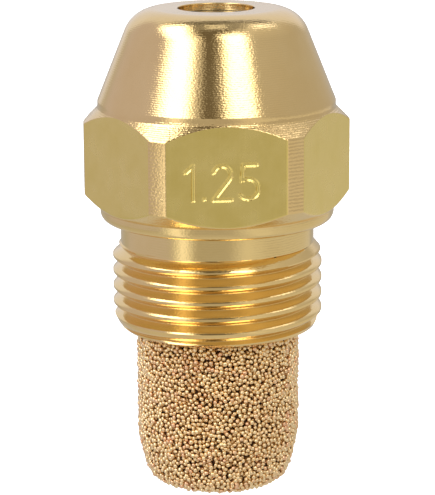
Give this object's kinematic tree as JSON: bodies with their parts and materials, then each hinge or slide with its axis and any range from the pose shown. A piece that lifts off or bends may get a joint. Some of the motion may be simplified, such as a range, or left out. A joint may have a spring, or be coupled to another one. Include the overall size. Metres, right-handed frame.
{
  "type": "oil burner nozzle",
  "caption": "Brass spray nozzle for an oil burner, with a spanner hexagon, a threaded rear end and a sintered bronze filter that unscrews.",
  "frame": {"origin": "centre of the body's rear face, where its rear edge seals in the nozzle holder", "axes": "+Z along the nozzle's axis in the direction of the spray, -Y out of one spanner flat"},
  "size_m": [0.0178, 0.016, 0.0324],
  "materials": {
    "body_brass": "turned and milled, satin to bright",
    "disc_steel": "turned",
    "cone_steel": "ground",
    "screw_brass": "turned",
    "socket_brass": "turned",
    "filter_bronze": "sintered beads"
  },
  "bodies": {
    "body": {"nozzle_body": "body_brass"},
    "disc": {"orifice_disc": "disc_steel"},
    "cone": {"swirl_cone": "cone_steel"},
    "screw": {"retaining_screw": "screw_brass"},
    "filter": {"filter_socket": "socket_brass", "sintered_filter": "filter_bronze"}
  },
  "joints": [
    {"name": "disc_drop", "type": "slide", "parent": "body", "child": "disc", "axis": [0, 0, -1], "range_m": [0, 0.026]},
    {"name": "cone_travel", "type": "slide", "parent": "disc", "child": "cone", "axis": [0, 0, -1], "range_m": [0, 0.0143]},
    {"name": "screw_turn", "type": "hinge", "parent": "cone", "child": "screw", "pos_m": [0, 0, 0.01145], "axis": [0, 0, -1], "range_deg": [0, 6840]},
    {"name": "filter_off", "type": "slide", "parent": "screw", "child": "filter", "axis": [0, 0, -1], "range_m": [0, 0.012]}
  ],
  "couplings": [
    {"joint": "cone_travel", "follows": "screw_turn", "m_per_rad": 0.00011937}
  ]
}
